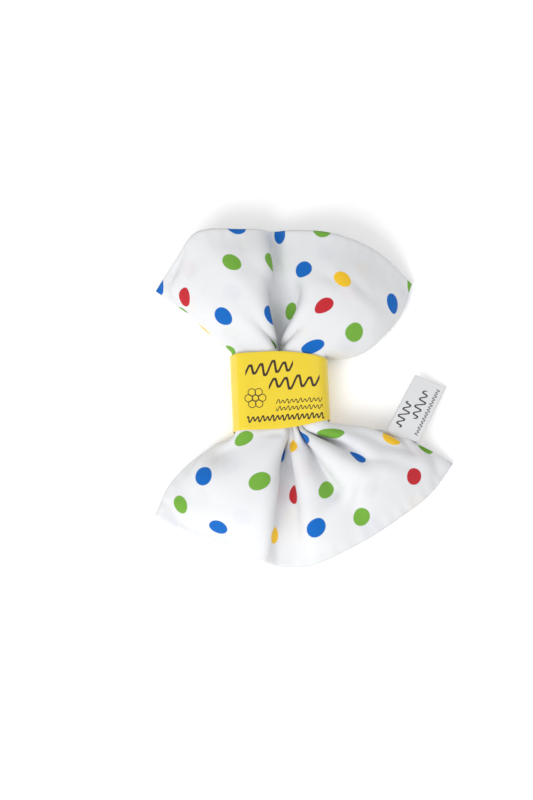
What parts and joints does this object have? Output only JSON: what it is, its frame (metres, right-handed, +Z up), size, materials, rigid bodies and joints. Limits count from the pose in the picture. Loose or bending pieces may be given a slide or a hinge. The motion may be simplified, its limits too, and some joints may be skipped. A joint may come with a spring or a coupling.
{
  "type": "crinkle cloth toy",
  "caption": "Square dotted cotton pouch with a crinkle film inside, pleated into a bow by a card belly band, with a folded label in its edge seam.",
  "frame": {"origin": "middle of the belly band's flat back, on the surface the toy lies on", "axes": "+Z up out of the printed front, +Y along the pleats towards the upper wing, +X across the pleats towards the label"},
  "size_m": [0.1275, 0.1458, 0.0267],
  "materials": {
    "printed_cotton": "matt woven cotton, white with printed blue, green, red and yellow dots",
    "crinkle_film": "thin translucent polyester film",
    "thread": "white polyester sewing thread",
    "label_tape": "white printed satin tape",
    "band_card": "yellow coated card, slight sheen",
    "glue": "clear adhesive strip"
  },
  "bodies": {
    "waist": {"front_panel_waist": "printed_cotton", "back_panel_waist": "printed_cotton", "crinkle_film_waist": "crinkle_film"},
    "band": {"belly_band": "band_card", "band_glue_strip": "glue"},
    "upper_wing": {"front_panel_upper_wing": "printed_cotton", "back_panel_upper_wing": "printed_cotton", "crinkle_film_upper_wing": "crinkle_film", "seam_stitches_upper_wing": "thread", "closing_stitches": "thread"},
    "lower_wing": {"front_panel_lower_wing": "printed_cotton", "back_panel_lower_wing": "printed_cotton", "crinkle_film_lower_wing": "crinkle_film", "seam_stitches_lower_wing": "thread", "label_sewn_end": "label_tape"},
    "label": {"side_label": "label_tape"}
  },
  "joints": [
    {"name": "upper_wing_bend", "type": "hinge", "parent": "waist", "child": "upper_wing", "pos_m": [0, 0.014, 0.0085], "axis": [1, 0, 0], "range_deg": [-20, 20], "stiffness_Nm_per_rad": 0.01},
    {"name": "lower_wing_bend", "type": "hinge", "parent": "waist", "child": "lower_wing", "pos_m": [0, -0.014, 0.0085], "axis": [-1, 0, 0], "range_deg": [-20, 20], "stiffness_Nm_per_rad": 0.01},
    {"name": "label_flap", "type": "hinge", "parent": "lower_wing", "child": "label", "pos_m": [0.05128, -0.02244, 0.00931], "axis": [0.8939, -0.3772, -0.242], "range_deg": [-20, 40], "stiffness_Nm_per_rad": 0.0004},
    {"name": "band_slide", "type": "slide", "parent": "waist", "child": "band", "axis": [0, 1, 0], "range_m": [-0.0015, 0.0015]}
  ]
}
